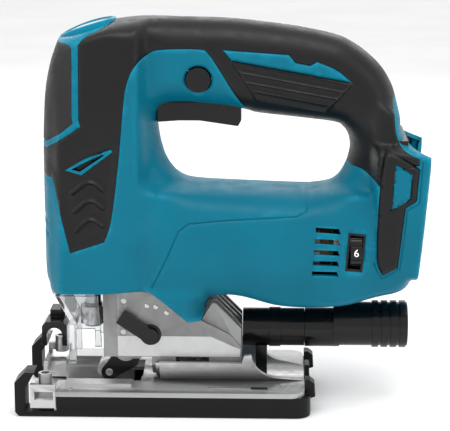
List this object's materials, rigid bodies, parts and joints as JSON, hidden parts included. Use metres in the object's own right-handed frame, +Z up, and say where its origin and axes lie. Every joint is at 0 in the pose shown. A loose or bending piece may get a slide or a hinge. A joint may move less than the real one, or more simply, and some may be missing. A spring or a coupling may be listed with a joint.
{
  "type": "jigsaw power tool",
  "caption": "Battery jigsaw with top handle, cast gear housing, tilting and sliding sole plate, guide roller, orbital lever and rear dust outlet, shown without battery and blade.",
  "frame": {"origin": "centre of the footprint of the whole tool, on the face the sole rests on", "axes": "+X from the blade end to the battery end, +Z up, -Y is the tool's left side with the orbital lever"},
  "size_m": [0.2099, 0.077, 0.2009],
  "materials": {
    "body_plastic": "fine spark-eroded texture",
    "grip_rubber": "soft matt overmould",
    "badge_metal": "satin",
    "black_plastic": "moulded",
    "sole_plastic": "smooth sliding face",
    "cast_aluminium": "die cast, machined edges",
    "steel": "ground",
    "bronze": "sintered or drawn",
    "clear_plastic": "clear moulded",
    "board": "coated board"
  },
  "bodies": {
    "tool_body": {"housing_left": "body_plastic", "housing_right": "body_plastic", "grip_left": "grip_rubber", "grip_right": "grip_rubber", "bumper_left": "grip_rubber", "bumper_right": "grip_rubber", "palm_pad": "grip_rubber", "top_bezel": "body_plastic", "badge_plate": "badge_metal", "housing_screws": "steel", "gear_housing": "cast_aluminium", "gear_cover": "cast_aluminium", "gear_cover_screws": "steel", "lower_bush": "bronze", "upper_bush": "bronze", "gear_bearing": "steel", "stator_core": "steel", "stator_coils": "bronze", "sensor_board": "board", "front_bearing": "steel", "rear_bearing": "steel", "opener_pin": "steel", "lamp_lens": "clear_plastic", "lamp_board": "board", "retainer_pin": "steel", "trigger_spring": "steel", "trigger_switch": "black_plastic", "dial_potentiometer": "black_plastic", "controller": "black_plastic", "terminal_block": "black_plastic", "battery_contacts": "bronze"},
    "motor_rotor": {"motor_shaft": "steel", "rotor_core": "steel", "cooling_fan": "black_plastic", "pinion": "steel"},
    "crank": {"crank_gear": "steel", "gear_shaft": "steel"},
    "balance": {"balance_plate": "steel"},
    "plunger": {"plunger_rod": "steel", "yoke": "steel", "blade_clamp": "steel"},
    "sleeve": {"clamp_sleeve": "steel"},
    "opener": {"opener_lever": "black_plastic"},
    "chip_guard": {"dust_cover": "clear_plastic"},
    "orbit_control": {"orbit_lever": "black_plastic", "orbit_cam": "steel"},
    "retainer": {"roller_retainer": "black_plastic", "roller_pin": "steel"},
    "roller": {"guide_roller": "steel"},
    "trigger_lever": {"trigger": "black_plastic"},
    "lock_off": {"lock_button": "black_plastic"},
    "dial": {"speed_dial": "black_plastic"},
    "base_carriage": {"guide_plate": "steel"},
    "base": {"base_plate": "cast_aluminium", "sole_cover": "sole_plastic", "splinter_insert": "black_plastic", "base_bolt": "steel", "base_nut": "steel", "dust_nozzle": "black_plastic", "hose_adaptor": "black_plastic"}
  },
  "joints": [
    {"name": "motor_spin", "type": "hinge", "parent": "tool_body", "child": "motor_rotor", "pos_m": [0, 0, 0.084], "axis": [1, 0, 0], "continuous": true},
    {"name": "crank_spin", "type": "hinge", "parent": "tool_body", "child": "crank", "pos_m": [-0.05, 0, 0.10875], "axis": [1, 0, 0], "continuous": true},
    {"name": "plunger_stroke", "type": "slide", "parent": "tool_body", "child": "plunger", "axis": [0, 0, 1], "range_m": [-0.013, 0.013]},
    {"name": "balance_stroke", "type": "slide", "parent": "tool_body", "child": "balance", "axis": [0, 0, 1], "range_m": [-0.0061, 0.0061]},
    {"name": "sleeve_turn", "type": "hinge", "parent": "plunger", "child": "sleeve", "pos_m": [-0.068, 0, 0.044], "axis": [0, 0, 1], "range_deg": [-35, 0], "stiffness_Nm_per_rad": 0.02, "springref_deg": 11.46},
    {"name": "opener_swing", "type": "hinge", "parent": "tool_body", "child": "opener", "pos_m": [-0.084, 0.018, 0.045], "axis": [0, 0, 1], "range_deg": [-35, 0], "stiffness_Nm_per_rad": 0.02, "springref_deg": 11.46},
    {"name": "chip_guard_lift", "type": "slide", "parent": "tool_body", "child": "chip_guard", "axis": [0, 0, 1], "range_m": [0, 0.006]},
    {"name": "orbit_select", "type": "hinge", "parent": "tool_body", "child": "orbit_control", "pos_m": [-0.0366, -0.02, 0.038], "axis": [0, 1, 0], "range_deg": [0, 120]},
    {"name": "retainer_swing", "type": "hinge", "parent": "tool_body", "child": "retainer", "pos_m": [-0.0508, 0, 0.0285], "axis": [0, 1, 0], "range_deg": [0, 8]},
    {"name": "roller_spin", "type": "hinge", "parent": "retainer", "child": "roller", "pos_m": [-0.0592, 0, 0.0145], "axis": [0, 1, 0], "continuous": true},
    {"name": "trigger_pull", "type": "slide", "parent": "tool_body", "child": "trigger_lever", "axis": [0, 0, 1], "range_m": [0, 0.0045], "stiffness_N_per_m": 400, "springref_m": -0.002, "deforming": ["trigger_spring"]},
    {"name": "lock_off_push", "type": "slide", "parent": "tool_body", "child": "lock_off", "axis": [0, 1, 0], "range_m": [0, 0.003], "stiffness_N_per_m": 300, "springref_m": -0.001},
    {"name": "dial_turn", "type": "hinge", "parent": "tool_body", "child": "dial", "pos_m": [0.068, -0.0235, 0.0855], "axis": [1, 0, 0], "range_deg": [0, 250]},
    {"name": "base_slide", "type": "slide", "parent": "tool_body", "child": "base_carriage", "axis": [1, 0, 0], "range_m": [0, 0.01]},
    {"name": "base_tilt", "type": "hinge", "parent": "base_carriage", "child": "base", "pos_m": [0, 0, 0.036], "axis": [1, 0, 0], "range_deg": [-45, 45]}
  ],
  "couplings": [
    {"joint": "crank_spin", "follows": "motor_spin", "ratio": -0.17857},
    {"joint": "balance_stroke", "follows": "plunger_stroke", "ratio": -0.46154}
  ]
}
